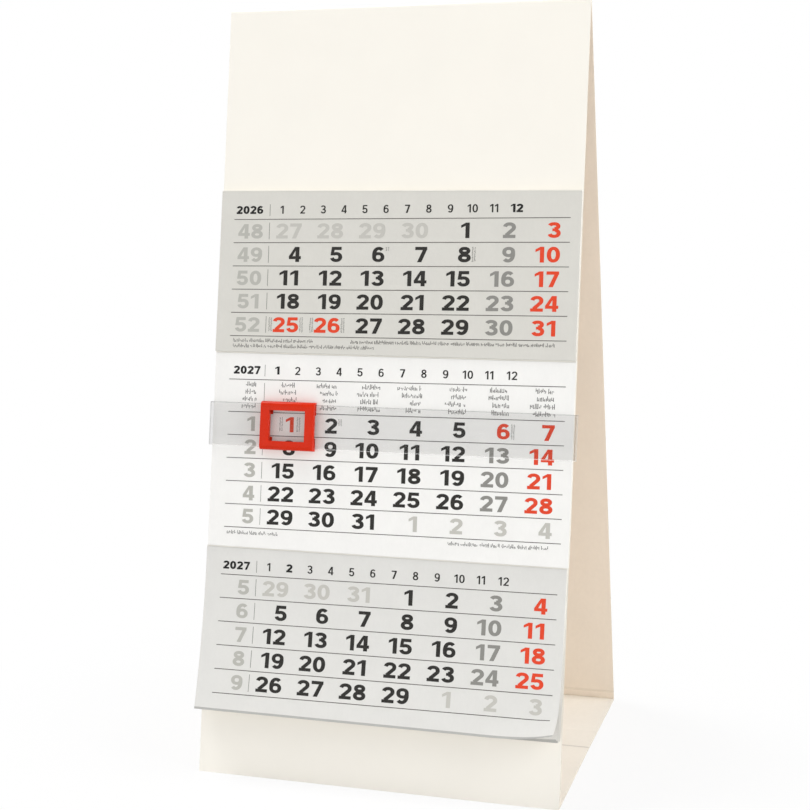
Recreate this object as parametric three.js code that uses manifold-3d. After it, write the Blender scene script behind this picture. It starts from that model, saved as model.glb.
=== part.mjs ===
// Three-month desk calendar: a folded card easel that carries three tear-off pads, a clear
// film band that slides over the middle pad, and a date marker that slides along the band.
//
// Millimetres, +X to the right, +Y to the back, +Z up. The origin is on the table, under
// the middle of the floor panel. The easel is one sheet of card, creased at the apex, at
// the two feet and across the floor, and glued shut behind the foot of its front panel.

import * as THREE from 'three';
import { mergeVertices } from 'three/addons/utils/BufferGeometryUtils.js';
import Module from 'manifold-3d';

// Card easel
const CARD_WIDTH = 101;
const CARD_THICKNESS = 0.5;
const SLOPE_LENGTH = 209.4; // apex crease to foot crease, along a leaning panel
const FLOOR_DEPTH = 82; // front foot crease to rear foot crease
const GLUE_FLAP_HEIGHT = 12;
const REAR_FLAP_LENGTH = 30; // rear crease to where the floor comes apart when it folds
const SCARF_LENGTH = 1.6; // the floor's front part lies on its rear part along this slant
const SCARF_GAP = 0.15; // along the floor
const SCORE_WIDTH = 0.6;
const SCORE_DEPTH = 0.15;
const HEM_HEIGHT = 2.4; // second score line above the rear foot crease
const CREASE_GAP = 0.04;
const SEAT_GAP = 0.04; // between pieces that lie on each other
const FOLD_STEPS = 6; // facets round half a crease

// Tear-off pads, from the apex down
const HEADER_HEIGHT = 50; // bare card above the first pad
const PAD_SIDE_INSET = 0.2; // of a pad that sits in the middle of the card
const LEAF_COUNT = 12;
const LEAF_THICKNESS = 0.1;
const LEAF_GAP = 0.04;
const LEAF_STEPS = 10; // facets down a bent leaf
const GUM_THICKNESS = 0.3; // padding gum along the head of a pad
const GLUE_THICKNESS = 0.15; // glue line that holds a pad on the card
const GLUE_HEIGHT = 8;
const GLUE_INSET = 3;
const UPPER_PAD = {
  name: 'upper', height: 44, shift: 0.25, spread: 0.1, fan: 0.2, curledLeaves: 0,
};
const MIDDLE_PAD = {
  name: 'middle', height: 53, shift: 0.4, spread: 0, fan: 0.2, curledLeaves: 0,
};
const LOWER_PAD = {
  name: 'lower', height: 44.1, shift: 0.15, spread: 1.6, fan: 2.6, curledLeaves: 4,
};
const PADS = [UPPER_PAD, MIDDLE_PAD, LOWER_PAD];

// Curled corner, at the lower right of the lower pad
const CURL_WIDTH = 26; // reach along the free edge
const CURL_HEIGHT = 13; // reach up the side edge
const CURL_RISE = 4.8; // of the top leaf's corner
const CURL_TUCK_ACROSS = 0.3; // how far the curl draws that corner in from the side
const CURL_TUCK_UP = 2.8; // and up from the free edge
const CURL_FADE = 0.3; // share of the rise and the tuck that each leaf below keeps
const CURL_STEPS = 7;

// Film band, a closed loop round the front panel and the middle pad
const BAND_DROP = 13.5; // below the head of the middle pad, over the first week
const BAND_HEIGHT = 12;
const FILM_THICKNESS = 0.2;
const BAND_SIDE_CLEARANCE = 0.5;
const BAND_SHIFT = 0.3; // the loop leans on the left edge of the card
const BAND_BACK_CLEARANCE = 0.3;
const BAND_CORNER_RADIUS = 1;

// Date marker, a frame whose lips grip the upper and lower edges of the film
const MARKER_WIDTH = 15.3;
const MARKER_DEPTH = 1.5; // in front of the film
const MARKER_WALL = 0.5; // beyond the film's edge
const MARKER_ROUNDING = 1.1;
const MARKER_CENTRE_X = -27.4;
const WINDOW_WIDTH = 10.4;
const WINDOW_HEIGHT = 8.3;
const LIP_THICKNESS = 0.4;
const LIP_WIDTH = 2.85; // there are four lips, one behind each corner of the frame
const LIP_REACH = 3;
const CLIP_GAP = 0.08;
const ROUND_STEPS = 6;

// Sizes that follow from the ones above
const PAD_WIDTH = CARD_WIDTH - 2 * PAD_SIDE_INSET;
const HALF_FLOOR = FLOOR_DEPTH / 2;
const LEAN = Math.asin(HALF_FLOOR / SLOPE_LENGTH); // of each panel from the vertical
const APEX_Z = CARD_THICKNESS + Math.sqrt(SLOPE_LENGTH ** 2 - HALF_FLOOR ** 2);
const FLAP_CREASE_Y = -HALF_FLOOR + (CARD_THICKNESS + SEAT_GAP) / Math.cos(LEAN);
const SPLIT_Y = HALF_FLOOR - REAR_FLAP_LENGTH;
const CREASE_GAP_ANGLE = CREASE_GAP / CARD_THICKNESS; // at the round outside of a crease
const FOOT_BISECTOR = Math.PI + (Math.PI / 2 - LEAN) / 2; // direction that halves a foot crease
const LEAF_PITCH = LEAF_THICKNESS + LEAF_GAP;
const STACK_BASE = 2 * SEAT_GAP + GLUE_THICKNESS; // back of the leaf nearest the card
const STACK_TOP = STACK_BASE + LEAF_COUNT * LEAF_PITCH - LEAF_GAP;
const BAND_TOP = padHead(MIDDLE_PAD) + BAND_DROP;
const PAD_UNDER_BAND = STACK_TOP + MIDDLE_PAD.spread + MIDDLE_PAD.fan;
const FILM_BACK = PAD_UNDER_BAND + LIP_THICKNESS + 2 * CLIP_GAP;
const FILM_FRONT = FILM_BACK + FILM_THICKNESS;

const wasm = await Module();
wasm.setup();

// Materials, one to a piece of the photographed object
function matte(colour, roughness) {
  return new THREE.MeshStandardMaterial({ color: colour, roughness, metalness: 0 });
}
const cardOutside = matte(0xf7f2e8, 0.8);
const cardInside = matte(0xe6d3bc, 0.85);
const greyLeaf = matte(0xdcd9d3, 0.75);
const whiteLeaf = matte(0xf7f6f3, 0.75);
const gum = matte(0xe9e7e2, 0.6);
const glue = matte(0xd9d6cb, 0.5);
const film = new THREE.MeshStandardMaterial({
  color: 0xe4e4e0, roughness: 0.15, metalness: 0, transparent: true, opacity: 0.35,
});
const redPlastic = matte(0xd8230f, 0.35);

const calendar = new THREE.Group();

// Frame of the front panel: x across, y up the slope, z out of its face. It starts on the
// outer face beside the apex crease.
const frontFace = new THREE.Group();
frontFace.position.set(
  0, -CARD_THICKNESS * Math.cos(LEAN), APEX_Z + CARD_THICKNESS * Math.sin(LEAN),
);
frontFace.rotation.x = Math.PI / 2 - LEAN;
calendar.add(frontFace);

function addMesh(parent, name, geometry, material) {
  const mesh = new THREE.Mesh(geometry, material);
  mesh.name = name;
  parent.add(mesh);
}

// Distance down the slope from the apex crease to the head of a pad
function padHead(pad) {
  const above = PADS.slice(0, PADS.indexOf(pad));
  const spacing = GUM_THICKNESS + 2 * SEAT_GAP;
  return above.reduce((head, other) => head + other.height + spacing, HEADER_HEIGHT);
}

// A section of points [y, z], extruded along x and centred on x = 0
function extrudeAcross(section, width) {
  const shape = new THREE.Shape(section.map(([y, z]) => new THREE.Vector2(y, z)));
  const geometry = new THREE.ExtrudeGeometry(shape, { depth: width, bevelEnabled: false });
  geometry.translate(0, 0, -width / 2);
  const along = new THREE.Matrix4().makeBasis(
    new THREE.Vector3(0, 1, 0), new THREE.Vector3(0, 0, 1), new THREE.Vector3(1, 0, 0),
  );
  return geometry.applyMatrix4(along);
}

// Points on an arc round [y, z], from one angle to another, in radians
function arc([y, z], radius, from, to, steps) {
  const points = [];
  for (let i = 0; i <= steps; i += 1) {
    const angle = from + ((to - from) * i) / steps;
    points.push([y + radius * Math.cos(angle), z + radius * Math.sin(angle)]);
  }
  return points;
}

function mirrored(section) {
  return section.map(([y, z]) => [-y, z]).reverse();
}

// Point of a section on the front panel, by its distance down the slope from the apex
// crease and its depth behind the inner face
function onInnerFace(down, behind) {
  return [
    -down * Math.sin(LEAN) + behind * Math.cos(LEAN),
    APEX_Z - down * Math.cos(LEAN) - behind * Math.sin(LEAN),
  ];
}

// Rounded outside of a crease in the card, from one direction to another
function creaseArc(crease, from, to) {
  return arc(crease, CARD_THICKNESS, from, to, FOLD_STEPS);
}

// Half of the crease at the apex, from the outer face up to the middle plane
function apexCrease() {
  return creaseArc([0, APEX_Z], Math.PI - LEAN, Math.PI / 2 + CREASE_GAP_ANGLE);
}

// Front panel: its raw lower edge stands on the table in front of the glue flap
function frontPanelSection() {
  const footDown = APEX_Z / Math.cos(LEAN);
  const outerFootDown = footDown + CARD_THICKNESS * Math.tan(LEAN);
  return [
    onInnerFace(CREASE_GAP, 0),
    ...apexCrease().reverse(),
    onInnerFace(outerFootDown, -CARD_THICKNESS),
    onInnerFace(footDown, 0),
  ];
}

// Rear panel, written as its mirror image: creased into the floor at its foot, with a
// second score line just above
function rearPanelSection() {
  const footCrease = [-HALF_FLOOR, CARD_THICKNESS];
  const hem = SLOPE_LENGTH - HEM_HEIGHT;
  return mirrored([
    onInnerFace(CREASE_GAP, 0),
    ...apexCrease().reverse(),
    ...creaseArc(footCrease, Math.PI - LEAN, FOOT_BISECTOR - CREASE_GAP_ANGLE),
    onInnerFace(SLOPE_LENGTH - CREASE_GAP, 0),
    onInnerFace(hem + SCORE_WIDTH / 2, 0),
    onInnerFace(hem, -SCORE_DEPTH),
    onInnerFace(hem - SCORE_WIDTH / 2, 0),
  ]);
}

// Glue flap: turned up from the floor and glued behind the foot of the front panel
function glueFlapSection() {
  const crease = [FLAP_CREASE_Y, CARD_THICKNESS];
  const up = [Math.sin(LEAN), Math.cos(LEAN)];
  const out = [-Math.cos(LEAN), Math.sin(LEAN)];
  const at = (rise, depth) => [
    crease[0] + rise * up[0] + depth * out[0],
    crease[1] + rise * up[1] + depth * out[1],
  ];
  return [
    at(CREASE_GAP, 0),
    at(GLUE_FLAP_HEIGHT, 0),
    at(GLUE_FLAP_HEIGHT, CARD_THICKNESS),
    ...creaseArc(crease, Math.PI - LEAN, FOOT_BISECTOR - CREASE_GAP_ANGLE),
  ];
}

// Front part of the floor, with the score line across the middle of the easel
function floorFrontSection() {
  const flapCrease = [FLAP_CREASE_Y, CARD_THICKNESS];
  return [
    [FLAP_CREASE_Y + CREASE_GAP, CARD_THICKNESS],
    ...creaseArc(flapCrease, FOOT_BISECTOR + CREASE_GAP_ANGLE, 1.5 * Math.PI),
    [SPLIT_Y - SCARF_GAP, 0],
    [SPLIT_Y - SCARF_GAP + SCARF_LENGTH, CARD_THICKNESS],
    [SCORE_WIDTH / 2, CARD_THICKNESS],
    [0, CARD_THICKNESS - SCORE_DEPTH],
    [-SCORE_WIDTH / 2, CARD_THICKNESS],
  ];
}

// Rear part of the floor, written as its mirror image
function floorRearSection() {
  const footCrease = [-HALF_FLOOR, CARD_THICKNESS];
  return mirrored([
    [-HALF_FLOOR + CREASE_GAP, CARD_THICKNESS],
    ...creaseArc(footCrease, FOOT_BISECTOR + CREASE_GAP_ANGLE, 1.5 * Math.PI),
    [-SPLIT_Y, 0],
    [-SPLIT_Y - SCARF_LENGTH, CARD_THICKNESS],
  ]);
}

function addEasel() {
  const panels = {
    front_panel: [frontPanelSection(), cardOutside],
    rear_panel: [rearPanelSection(), cardInside],
    glue_flap: [glueFlapSection(), cardInside],
    floor_front: [floorFrontSection(), cardInside],
    floor_rear: [floorRearSection(), cardInside],
  };
  for (const [name, [section, material]] of Object.entries(panels)) {
    addMesh(calendar, name, extrudeAcross(section, CARD_WIDTH), material);
  }
}

// A thin sheet in the front panel's frame. columns are places across, rows are distances
// below its head, and backPoint(x, down) is the point there on its back. Both faces are split
// into triangles the same way, so that they keep their distance where the sheet twists.
function sheet(columns, rows, backPoint, thickness) {
  const positions = [];
  for (const side of [0, 1]) {
    for (const down of rows) {
      for (const x of columns) {
        const [across, up, out] = backPoint(x, down);
        positions.push(across, up, out + side * thickness);
      }
    }
  }
  const layer = columns.length * rows.length;
  const back = (i, j) => j * columns.length + i;
  const front = (i, j) => layer + back(i, j);
  const faces = [];
  const quad = (a, b, c, d) => faces.push(a, b, c, a, c, d);
  const lastColumn = columns.length - 1;
  const lastRow = rows.length - 1;
  for (let j = 0; j < lastRow; j += 1) {
    for (let i = 0; i < lastColumn; i += 1) {
      quad(front(i, j + 1), front(i + 1, j + 1), front(i + 1, j), front(i, j));
      quad(back(i, j + 1), back(i, j), back(i + 1, j), back(i + 1, j + 1));
    }
    quad(front(0, j), back(0, j), back(0, j + 1), front(0, j + 1));
    quad(
      front(lastColumn, j + 1), back(lastColumn, j + 1), back(lastColumn, j), front(lastColumn, j),
    );
  }
  for (let i = 0; i < lastColumn; i += 1) {
    quad(front(i + 1, 0), back(i + 1, 0), back(i, 0), front(i, 0));
    quad(front(i, lastRow), back(i, lastRow), back(i + 1, lastRow), front(i + 1, lastRow));
  }
  const geometry = new THREE.BufferGeometry();
  geometry.setAttribute('position', new THREE.Float32BufferAttribute(positions, 3));
  geometry.setIndex(faces);
  geometry.computeVertexNormals();
  return geometry;
}

function evenly(from, to, steps) {
  return Array.from({ length: steps + 1 }, (_, i) => from + ((to - from) * i) / steps);
}

// One leaf. Leaf 0 lies nearest the card and the last one is the month on show. The free
// ends stand off the card and fan out, and the top leaves of the lower pad curl at a corner.
function leafGeometry(pad, index) {
  const last = LEAF_COUNT - 1;
  const bend = pad.spread + (pad.fan * index) / last;
  const curled = last - index < pad.curledLeaves;
  const share = curled ? CURL_FADE ** (last - index) : 0;
  const edge = PAD_WIDTH / 2;
  const curlHead = pad.height - CURL_HEIGHT;
  const backPoint = (x, down) => {
    const curl = Math.max(0, (x - edge) / CURL_WIDTH + (down - curlHead) / CURL_HEIGHT);
    const lift = bend * (down / pad.height) ** 2 + share * CURL_RISE * curl ** 2;
    return [
      x - share * CURL_TUCK_ACROSS * curl ** 3,
      -down + share * CURL_TUCK_UP * curl ** 3,
      STACK_BASE + index * LEAF_PITCH + lift,
    ];
  };
  const columns = curled ? [-edge, ...evenly(edge - CURL_WIDTH, edge, CURL_STEPS)] : [-edge, edge];
  const rows = pad.curledLeaves > 0
    ? [...evenly(0, curlHead, LEAF_STEPS), ...evenly(curlHead, pad.height, CURL_STEPS).slice(1)]
    : evenly(0, pad.height, LEAF_STEPS);
  return sheet(columns, rows, backPoint, LEAF_THICKNESS);
}

function addPad(pad, leafMaterial) {
  const head = new THREE.Group();
  head.position.set(pad.shift, -padHead(pad), 0);
  frontFace.add(head);
  for (let index = 0; index < LEAF_COUNT; index += 1) {
    const number = String(LEAF_COUNT - index).padStart(2, '0');
    addMesh(head, `${pad.name}_leaf_${number}`, leafGeometry(pad, index), leafMaterial);
  }
  const gumStrip = new THREE.BoxGeometry(PAD_WIDTH, GUM_THICKNESS, STACK_TOP - SEAT_GAP);
  gumStrip.translate(0, SEAT_GAP + GUM_THICKNESS / 2, (STACK_TOP + SEAT_GAP) / 2);
  addMesh(head, `${pad.name}_pad_gum`, gumStrip, gum);
  const glueStrip = new THREE.BoxGeometry(PAD_WIDTH - 2 * GLUE_INSET, GLUE_HEIGHT, GLUE_THICKNESS);
  glueStrip.translate(0, -GLUE_INSET - GLUE_HEIGHT / 2, SEAT_GAP + GLUE_THICKNESS / 2);
  addMesh(head, `${pad.name}_pad_glue`, glueStrip, glue);
}

// Outline of a rectangle with round corners, in points [x, z]
function roundedLoop(left, right, low, high, radius) {
  const quarter = Math.PI / 2;
  return [
    ...arc([right - radius, high - radius], radius, 0, quarter, ROUND_STEPS),
    ...arc([left + radius, high - radius], radius, quarter, 2 * quarter, ROUND_STEPS),
    ...arc([left + radius, low + radius], radius, 2 * quarter, 3 * quarter, ROUND_STEPS),
    ...arc([right - radius, low + radius], radius, 3 * quarter, 4 * quarter, ROUND_STEPS),
  ].map(([x, z]) => new THREE.Vector2(x, z));
}

// Closed loop of film: in front of the middle pad, behind the front panel
function bandGeometry() {
  const innerSide = CARD_WIDTH / 2 + BAND_SIDE_CLEARANCE;
  const outerSide = innerSide + FILM_THICKNESS;
  const innerBack = -CARD_THICKNESS - BAND_BACK_CLEARANCE;
  const innerRadius = BAND_CORNER_RADIUS - FILM_THICKNESS;
  const outline = new THREE.Shape(roundedLoop(
    -outerSide, outerSide, innerBack - FILM_THICKNESS, FILM_FRONT, BAND_CORNER_RADIUS,
  ));
  outline.holes.push(new THREE.Path(roundedLoop(
    -innerSide, innerSide, innerBack, FILM_BACK, innerRadius,
  )));
  const geometry = new THREE.ExtrudeGeometry(outline, { depth: BAND_HEIGHT, bevelEnabled: false });
  return geometry.rotateX(Math.PI / 2);
}

function toManifold(geometry) {
  const bare = geometry.clone();
  bare.deleteAttribute('normal');
  bare.deleteAttribute('uv');
  const merged = mergeVertices(bare, 1e-4);
  return new wasm.Manifold(new wasm.Mesh({
    numProp: 3,
    vertProperties: Float32Array.from(merged.attributes.position.array),
    triVerts: Uint32Array.from(merged.index.array),
  }));
}

function fromManifold(solid) {
  const mesh = solid.getMesh();
  const geometry = new THREE.BufferGeometry();
  geometry.setAttribute('position', new THREE.Float32BufferAttribute(mesh.vertProperties, 3));
  geometry.setIndex(Array.from(mesh.triVerts));
  geometry.computeVertexNormals();
  return geometry;
}

// The marker's section, in points [y, z]: a front plate with rounded edges, and a wall and
// a lip behind each edge of the film. The window is cut through the plate, and the lips are
// cut away between the corners.
function markerGeometry() {
  const halfFilm = BAND_HEIGHT / 2;
  const inner = halfFilm + CLIP_GAP;
  const outer = inner + MARKER_WALL;
  const lipEnd = inner - LIP_REACH;
  const lipFront = FILM_BACK - CLIP_GAP;
  const lipBack = lipFront - LIP_THICKNESS;
  const plateBack = FILM_FRONT + CLIP_GAP;
  const plateFront = plateBack + MARKER_DEPTH;
  const roundCentre = [outer - MARKER_ROUNDING, plateFront - MARKER_ROUNDING];
  const rounding = arc(roundCentre, MARKER_ROUNDING, 0, Math.PI / 2, ROUND_STEPS);
  const upperHalf = [
    [lipEnd, lipFront], [lipEnd, lipBack], [outer, lipBack], ...rounding,
  ];
  const lowerHalf = [
    ...mirrored(rounding), [-outer, lipBack], [-lipEnd, lipBack], [-lipEnd, lipFront],
  ];
  const section = [
    [inner, plateBack], [inner, lipFront], ...upperHalf,
    ...lowerHalf, [-inner, lipFront], [-inner, plateBack],
  ];
  const body = toManifold(extrudeAcross(section, MARKER_WIDTH));
  const windowCutter = new THREE.BoxGeometry(WINDOW_WIDTH, WINDOW_HEIGHT, 3 * MARKER_DEPTH);
  windowCutter.translate(0, 0, plateFront);
  const betweenLips = MARKER_WIDTH - 2 * LIP_WIDTH;
  const lipCutter = new THREE.BoxGeometry(betweenLips, 2 * inner, 2 * LIP_THICKNESS);
  lipCutter.translate(0, 0, lipFront + CLIP_GAP - LIP_THICKNESS);
  return fromManifold(body.subtract(toManifold(windowCutter)).subtract(toManifold(lipCutter)));
}

function addBandAndMarker() {
  const slider = new THREE.Group();
  slider.position.set(BAND_SHIFT, -BAND_TOP, 0);
  frontFace.add(slider);
  addMesh(slider, 'film_band', bandGeometry(), film);
  const marker = markerGeometry();
  marker.translate(MARKER_CENTRE_X - BAND_SHIFT, -BAND_HEIGHT / 2, 0);
  addMesh(slider, 'date_marker', marker, redPlastic);
}

addEasel();
addPad(UPPER_PAD, greyLeaf);
addPad(MIDDLE_PAD, whiteLeaf);
addPad(LOWER_PAD, greyLeaf);
addBandAndMarker();

export default calendar;
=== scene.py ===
# Looks of a three-month desk calendar: a card easel with three tear-off pads, a clear film
# band round the middle pad and a red date marker on the band. Sizes are in millimetres and
# are turned into metres where a mesh is made.

import math
import random

import bmesh
import bpy
from mathutils import Matrix, Vector


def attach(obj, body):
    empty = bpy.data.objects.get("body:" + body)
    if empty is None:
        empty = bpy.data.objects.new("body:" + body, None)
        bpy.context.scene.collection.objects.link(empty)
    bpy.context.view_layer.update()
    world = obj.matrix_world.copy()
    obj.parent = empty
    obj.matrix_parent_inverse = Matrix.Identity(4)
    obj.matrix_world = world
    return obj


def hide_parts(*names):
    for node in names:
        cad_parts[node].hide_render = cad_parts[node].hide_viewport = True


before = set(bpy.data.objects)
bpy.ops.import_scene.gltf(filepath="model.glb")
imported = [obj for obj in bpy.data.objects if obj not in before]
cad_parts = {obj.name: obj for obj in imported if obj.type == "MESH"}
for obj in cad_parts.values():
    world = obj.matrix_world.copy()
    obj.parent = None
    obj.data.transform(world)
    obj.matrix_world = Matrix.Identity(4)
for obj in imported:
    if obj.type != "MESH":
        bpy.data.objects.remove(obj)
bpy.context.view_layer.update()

MM = 0.001

# Card easel
CARD_WIDTH = 101
CARD_THICKNESS = 0.5
SLOPE_LENGTH = 209.4
FLOOR_DEPTH = 82
REAR_FLAP_LENGTH = 30
SCARF_LENGTH = 1.6
HEM_HEIGHT = 2.4
SEAT_GAP = 0.04
CREASE_GAP = 0.04
FLOOR_CREASE_RISE = 0.35  # the floor isn't quite taut at its middle crease

# Tear-off pads
HEADER_HEIGHT = 50
PAD_WIDTH = 100.6
LEAF_COUNT = 12
LEAF_THICKNESS = 0.1
LEAF_GAP = 0.04
LEAF_STEPS = 22  # along the bend of a leaf
GUM_THICKNESS = 0.3
GLUE_THICKNESS = 0.15
# spread is the bend of the lowest leaf at its free end, and fan is what the top leaf adds.
# curled is the number of leaves whose lower right corner curls forward. The three values
# for the print are how far it lies off true on the pad's leaves.
UPPER_PAD = {
    "name": "upper", "height": 44, "shift": 0.25, "spread": 0.1, "fan": 0.2, "curled": 0,
    "print_shift": 0, "print_drop": 0.1, "print_turn": 0.008,
}
MIDDLE_PAD = {
    "name": "middle", "height": 53, "shift": 0.4, "spread": 0, "fan": 0.2, "curled": 0,
    "print_shift": 0.5, "print_drop": -0.3, "print_turn": 0.009,
}
LOWER_PAD = {
    "name": "lower", "height": 44.1, "shift": 0.15, "spread": 1.6, "fan": 2.6, "curled": 4,
    "print_shift": 0.5, "print_drop": -0.18, "print_turn": 0.008,
}
PADS = [UPPER_PAD, MIDDLE_PAD, LOWER_PAD]
CURL_WIDTH = 26
CURL_HEIGHT = 13
CURL_RISE = 4.8
CURL_TUCK_ACROSS = 0.3
CURL_TUCK_UP = 2.8
CURL_FADE = 0.3  # of the curl, from each leaf to the one below
CURL_STEPS = 24  # across the curl
FLAT_STEPS = 12  # down a curled leaf, above the curl

# Film band
BAND_DROP = 13.5
BAND_HEIGHT = 12
BAND_SHIFT = 0.3
BAND_INNER_SIDE = 51
BAND_INNER_BACK = -0.8
FILM_THICKNESS = 0.2
FILM_LIP_ROOM = 0.56
BAND_CORNER_RADIUS = 1
BAND_CORNER_STEPS = 10
BAND_RIM = 0.22  # how far the painted shade and glint of the cut edges reach into the film

# Sizes that follow from the ones above
HALF_FLOOR = FLOOR_DEPTH / 2
LEAN = math.asin(HALF_FLOOR / SLOPE_LENGTH)
APEX_Z = CARD_THICKNESS + math.sqrt(SLOPE_LENGTH**2 - HALF_FLOOR**2)
FLAP_CREASE_Y = -HALF_FLOOR + (CARD_THICKNESS + SEAT_GAP) / math.cos(LEAN)
SPLIT_Y = HALF_FLOOR - REAR_FLAP_LENGTH
LEAF_PITCH = LEAF_THICKNESS + LEAF_GAP
STACK_BASE = 2 * SEAT_GAP + GLUE_THICKNESS
STACK_TOP = STACK_BASE + LEAF_COUNT * LEAF_PITCH - LEAF_GAP
FILM_BACK = STACK_TOP + MIDDLE_PAD["spread"] + MIDDLE_PAD["fan"] + FILM_LIP_ROOM
REAR_SCORE_Z = CARD_THICKNESS + HEM_HEIGHT * math.cos(LEAN)

# Print, measured from the left edge of the card and from the head of each leaf
INK_LIFT = 0.02  # of the printed faces above the paper
INK_LAYER = 0.004  # between the strokes of a number, which overlap
RULE_LEFT = 4.3
RULE_RIGHT = 98.2
RULE_WIDTH = 0.2
TICK_WIDTH = 0.12
TICK_U = 14.75
TICK_INSET = 0.9
DAY_RIGHT = 24.2
DAY_PITCH = 11.92
WEEK_RIGHT = 12.85
DAY_HEIGHT = 4.1
WEEK_HEIGHT = DAY_HEIGHT * 0.97
BASELINE_RISE = 1.13  # of a number above the rule below it
YEAR_HEIGHT = 2.2
HEADING_RISE = 1.5
HEADING_TICK = (2.6, 0.6)  # above and below the baseline
WEEKDAY_BASELINE = 1.95  # of the first line of small type, below the rule
WEEKDAY_PITCH = 1.98
WEEKDAY_HEIGHT = 1.05
SIDE_MARK_GAP = 0.25  # from a number to the small marks after it
SIDE_MARK_REACH = 1.3  # of the marks before it
MONTH_LEFT = 18.3
MONTH_PITCH = 5.95
CELL_HEIGHT = 1  # of the cells that print on a curled leaf is cut into
CELL_WIDTH = 1.5
GREY_LAYOUT = {"head_rule": 7.2, "first_rule": 7.2, "pitch": 6.4, "year_right": 12.75}
WHITE_LAYOUT = {"head_rule": 7.1, "first_rule": 16, "pitch": 6.32, "year_right": 13.4}

# Camera, fitted to the corners of the easel in the photograph
CAMERA_PLACE = Vector((130.4, -428.3, 177.1))
CAMERA_YAW = math.radians(17.19)
CAMERA_PITCH = math.radians(-10.12)
CAMERA_ROLL = math.radians(-0.96)
CAMERA_LENS = 72


def add_camera():
    data = bpy.data.cameras.new("camera")
    data.lens = CAMERA_LENS
    data.sensor_width = 36
    data.clip_start = 0.01
    ahead = Vector(
        (
            -math.sin(CAMERA_YAW) * math.cos(CAMERA_PITCH),
            math.cos(CAMERA_YAW) * math.cos(CAMERA_PITCH),
            math.sin(CAMERA_PITCH),
        )
    )
    level = Vector((math.cos(CAMERA_YAW), math.sin(CAMERA_YAW), 0))
    above = level.cross(ahead)
    right = math.cos(CAMERA_ROLL) * level + math.sin(CAMERA_ROLL) * above
    up = math.cos(CAMERA_ROLL) * above - math.sin(CAMERA_ROLL) * level
    camera = bpy.data.objects.new("camera", data)
    camera.matrix_world = Matrix.Translation(CAMERA_PLACE * MM) @ Matrix(
        (right, up, -ahead)
    ).transposed().to_4x4()
    bpy.context.scene.collection.objects.link(camera)
    bpy.context.scene.camera = camera


add_camera()


# Materials


NOISE_LOW = 0.3  # most values of a noise texture lie between these two
NOISE_HIGH = 0.7


class Nodes:
    """A node material under construction."""

    def __init__(self, name):
        self.material = bpy.data.materials.new(name)
        self.material.use_nodes = True
        self.tree = self.material.node_tree
        self.shader = self.tree.nodes["Principled BSDF"]
        self.place = self.add("ShaderNodeTexCoord").outputs["Object"]

    def add(self, kind, **settings):
        node = self.tree.nodes.new(kind)
        for key, value in settings.items():
            setattr(node, key, value)
        return node

    def link(self, source, target):
        self.tree.links.new(source, target)

    def noise(self, scale, detail=3, stretch=(1, 1, 1)):
        """Noise with features of about 1 / scale metres."""
        mapping = self.add("ShaderNodeMapping")
        mapping.inputs["Scale"].default_value = stretch
        self.link(self.place, mapping.inputs["Vector"])
        texture = self.add("ShaderNodeTexNoise")
        texture.inputs["Scale"].default_value = scale
        texture.inputs["Detail"].default_value = detail
        self.link(mapping.outputs["Vector"], texture.inputs["Vector"])
        return texture.outputs["Fac"]

    def ramp(self, factor, stops):
        """Colours between places along a factor."""
        ramp = self.add("ShaderNodeValToRGB")
        elements = ramp.color_ramp.elements
        while len(elements) < len(stops):
            elements.new(0.5)
        for element, (place, colour) in zip(elements, stops):
            element.position = place
            element.color = (*colour, 1)
        self.link(factor, ramp.inputs["Fac"])
        return ramp.outputs["Color"]

    def mix(self, factor, first, second):
        mix = self.add("ShaderNodeMix", data_type="RGBA")
        sockets = (mix.inputs[0], mix.inputs[6], mix.inputs[7])
        for socket, value in zip(sockets, (factor, first, second)):
            if isinstance(value, bpy.types.NodeSocket):
                self.link(value, socket)
            elif isinstance(value, (tuple, list)):
                socket.default_value = (*value, 1)
            else:
                socket.default_value = value
        return mix.outputs[2]

    def spread(self, factor, low, high):
        """A noise stretched to run from low to high."""
        spread = self.add("ShaderNodeMapRange")
        spread.inputs["From Min"].default_value = NOISE_LOW
        spread.inputs["From Max"].default_value = NOISE_HIGH
        spread.inputs["To Min"].default_value = low
        spread.inputs["To Max"].default_value = high
        self.link(factor, spread.inputs["Value"])
        return spread.outputs["Result"]

    def bump(self, height, distance, strength=1):
        bump = self.add("ShaderNodeBump")
        bump.inputs["Strength"].default_value = strength
        bump.inputs["Distance"].default_value = distance * MM
        self.link(height, bump.inputs["Height"])
        self.link(bump.outputs["Normal"], self.shader.inputs["Normal"])


def rgb(red, green, blue):
    """Linear colour of an sRGB value from 0 to 255."""

    def linear(value):
        value /= 255
        return value / 12.92 if value <= 0.04045 else ((value + 0.055) / 1.055) ** 2.4

    return linear(red), linear(green), linear(blue)


def shaded(colour, factor):
    return tuple(channel * factor for channel in colour)


def paper_material(name, colour, fleck=0.97):
    """Uncoated paper: cloudy fibres in colour, roughness and relief."""
    nodes = Nodes(name)
    cloud = nodes.noise(160, 4)
    fibres = nodes.noise(1500, 4, stretch=(1, 0.45, 0.45))
    tone = nodes.ramp(cloud, [(NOISE_LOW, shaded(colour, fleck)), (NOISE_HIGH, colour)])
    tone = nodes.mix(nodes.spread(fibres, 0, 0.25), tone, shaded(colour, fleck - 0.05))
    nodes.link(tone, nodes.shader.inputs["Base Color"])
    nodes.link(nodes.spread(fibres, 0.68, 0.82), nodes.shader.inputs["Roughness"])
    nodes.shader.inputs["Specular IOR Level"].default_value = 0.25
    nodes.bump(fibres, 0.02, 0.35)
    return nodes.material


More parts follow.
